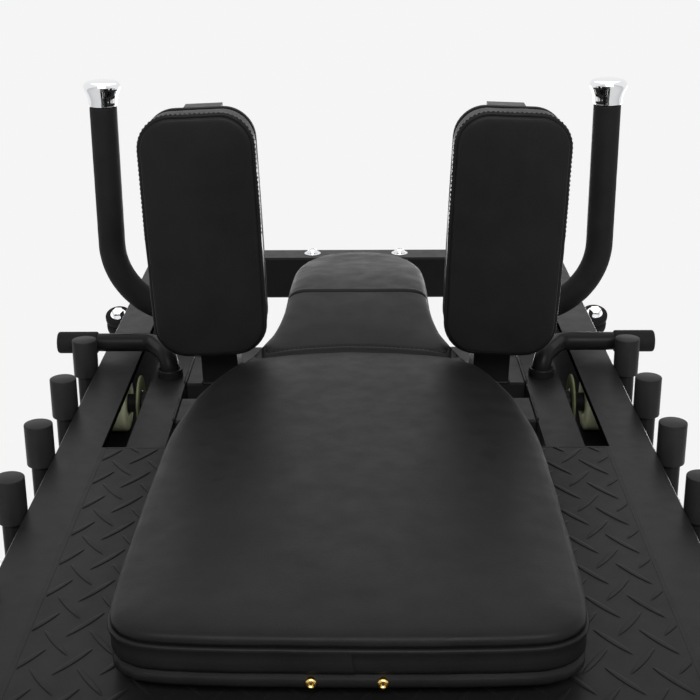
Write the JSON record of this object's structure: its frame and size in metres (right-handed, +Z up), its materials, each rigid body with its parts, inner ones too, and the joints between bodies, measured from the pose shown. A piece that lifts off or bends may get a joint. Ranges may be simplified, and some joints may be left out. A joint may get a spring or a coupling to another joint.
{
  "type": "leg press hack squat machine",
  "caption": "Sloping rail machine for the leg press and the hack squat, with a padded sled on rollers, lock arms, stop pegs, handles, seat and reclining back rest.",
  "frame": {"origin": "middle of the bounding box's underside, on the floor", "axes": "+Z up, +Y towards the high end of the rails, +X to the right as seen from the seat's end"},
  "size_m": [1.2, 2.12, 1.7652],
  "materials": {
    "black_paint": "satin",
    "leather": "satin",
    "rubber": "matte",
    "chrome": "polished",
    "foam_grip": "matte",
    "cream_tyre": "satin"
  },
  "bodies": {
    "frame": {"front_cross_foot": "black_paint", "rear_cross_foot": "black_paint", "seat_spine": "black_paint", "front_tie_tube": "black_paint", "rear_tie_tube": "black_paint", "top_crossbar": "black_paint", "seat_bracket": "black_paint", "seat_cushion": "leather", "left_base_tube": "black_paint", "left_front_rubber_foot": "rubber", "left_rear_rubber_foot": "rubber", "left_front_post": "black_paint", "left_rear_upright": "black_paint", "left_rail": "black_paint", "left_top_bumper": "rubber", "left_stop_ladder": "black_paint", "left_side_hub": "rubber", "left_foot_board": "black_paint", "right_base_tube": "black_paint", "right_front_rubber_foot": "rubber", "right_rear_rubber_foot": "rubber", "right_front_post": "black_paint", "right_rear_upright": "black_paint", "right_rail": "black_paint", "right_top_bumper": "rubber", "right_stop_ladder": "black_paint", "right_side_hub": "rubber", "right_foot_board": "black_paint"},
    "sled": {"tread_deck": "black_paint", "sled_front_tube": "black_paint", "sled_mid_plate": "black_paint", "sled_cross_tube": "black_paint", "sled_rear_tube": "black_paint", "press_plate": "black_paint", "weight_bar": "chrome", "pad_frame": "black_paint", "back_pad": "leather", "left_side_frame": "black_paint", "left_shoulder_post": "black_paint", "left_shoulder_pad": "leather", "left_handle": "foam_grip", "left_handle_cap": "chrome", "right_side_frame": "black_paint", "right_shoulder_post": "black_paint", "right_shoulder_pad": "leather", "right_handle": "foam_grip", "right_handle_cap": "chrome"},
    "left_lock_arm": {"left_lock_arm": "black_paint"},
    "left_low_roller": {"left_low_roller": "cream_tyre"},
    "left_high_roller": {"left_high_roller": "cream_tyre"},
    "right_lock_arm": {"right_lock_arm": "black_paint"},
    "right_low_roller": {"right_low_roller": "cream_tyre"},
    "right_high_roller": {"right_high_roller": "cream_tyre"},
    "back_rest": {"back_rest_frame": "black_paint", "back_rest_cushion": "leather"},
    "back_rest_knob": {"back_rest_knob": "rubber"}
  },
  "joints": [
    {"name": "sled_slide", "type": "slide", "parent": "frame", "child": "sled", "axis": [0, 0.7071, 0.7071], "range_m": [0, 0.24]},
    {"name": "left_lock_turn", "type": "hinge", "parent": "sled", "child": "left_lock_arm", "pos_m": [-0.2095, 0.60368, 1.40368], "axis": [0, 0.7071, -0.7071], "range_deg": [0, 45]},
    {"name": "right_lock_turn", "type": "hinge", "parent": "sled", "child": "right_lock_arm", "pos_m": [0.2095, 0.60368, 1.40368], "axis": [0, -0.7071, 0.7071], "range_deg": [0, 45]},
    {"name": "left_low_roller_spin", "type": "hinge", "parent": "sled", "child": "left_low_roller", "pos_m": [-0.26425, 0.22206, 0.96789], "axis": [1, 0, 0], "continuous": true},
    {"name": "left_high_roller_spin", "type": "hinge", "parent": "sled", "child": "left_high_roller", "pos_m": [-0.26425, 0.63076, 1.3766], "axis": [1, 0, 0], "continuous": true},
    {"name": "right_low_roller_spin", "type": "hinge", "parent": "sled", "child": "right_low_roller", "pos_m": [0.26425, 0.22206, 0.96789], "axis": [1, 0, 0], "continuous": true},
    {"name": "right_high_roller_spin", "type": "hinge", "parent": "sled", "child": "right_high_roller", "pos_m": [0.26425, 0.63076, 1.3766], "axis": [1, 0, 0], "continuous": true},
    {"name": "back_rest_recline", "type": "hinge", "parent": "frame", "child": "back_rest", "pos_m": [0, -0.56795, 0.19], "axis": [-1, 0, 0], "range_deg": [0, 20]},
    {"name": "back_rest_knob_turn", "type": "hinge", "parent": "back_rest", "child": "back_rest_knob", "pos_m": [0, -0.65139, 0.27344], "axis": [1, 0, 0], "continuous": true}
  ]
}
